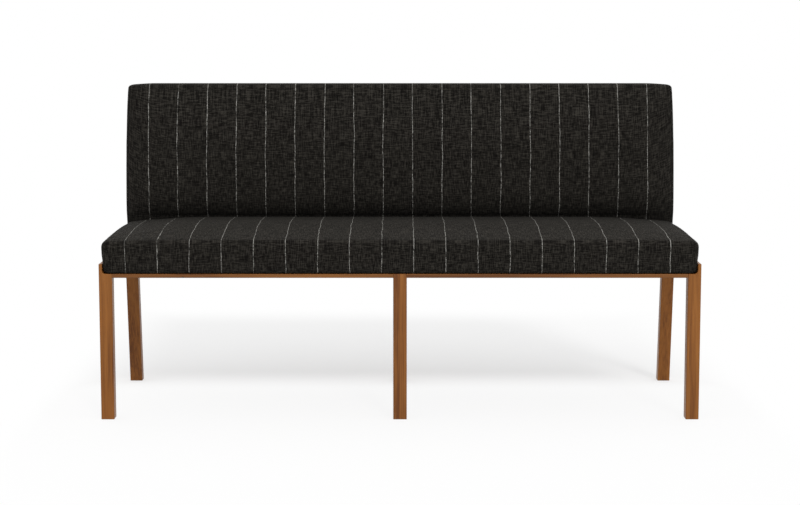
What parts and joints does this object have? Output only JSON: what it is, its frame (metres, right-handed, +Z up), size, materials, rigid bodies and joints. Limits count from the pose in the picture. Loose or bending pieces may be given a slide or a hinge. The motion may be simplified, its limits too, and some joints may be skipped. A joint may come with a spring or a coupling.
{
  "type": "banquette bench",
  "caption": "Upholstered banquette bench with a crowned seat and a leaning back in dark pinstriped cloth, carried in a thin wooden tray on slim square legs.",
  "frame": {"origin": "middle of the bounding box's underside, on the floor between the legs", "axes": "+X along the bench to the right as seen from the front, +Y from the front of the seat to the back, +Z up"},
  "size_m": [1.524, 0.573, 0.8385],
  "materials": {
    "show_wood": "satin",
    "frame_wood": "matte",
    "cover_cloth": "matte",
    "lining": "matte",
    "foam": "matte",
    "felt": "matte",
    "webbing": "matte",
    "hardboard": "matte",
    "steel": "satin",
    "nylon": "matte"
  },
  "bodies": {
    "root": {"front_leg_left": "show_wood", "front_leg_right": "show_wood", "front_leg_centre": "show_wood", "rear_leg_left": "show_wood", "rear_leg_right": "show_wood", "rear_leg_centre": "show_wood", "front_rail_left": "show_wood", "front_rail_right": "show_wood", "side_rail_left": "show_wood", "side_rail_right": "show_wood", "centre_rail": "show_wood", "rear_rail": "show_wood", "leg_glides": "nylon", "leg_bolts": "steel", "leg_bolt_inserts": "steel", "tray_screws": "steel", "seat_frame_front": "frame_wood", "seat_frame_rear": "frame_wood", "seat_frame_left": "frame_wood", "seat_frame_right": "frame_wood", "seat_frame_centre": "frame_wood", "seat_corner_blocks": "frame_wood", "seat_springs": "steel", "spring_clips": "steel", "seat_deck_felt": "felt", "seat_foam": "foam", "seat_cover": "cover_cloth", "seat_dust_cover": "lining", "back_post_left": "frame_wood", "back_post_centre": "frame_wood", "back_post_right": "frame_wood", "back_top_rail": "frame_wood", "back_bottom_rail_left": "frame_wood", "back_bottom_rail_right": "frame_wood", "back_webbing": "webbing", "back_foam": "foam", "back_cover": "cover_cloth", "back_board": "hardboard", "back_outside_cover": "cover_cloth", "back_bolts": "steel"}
  },
  "joints": []
}
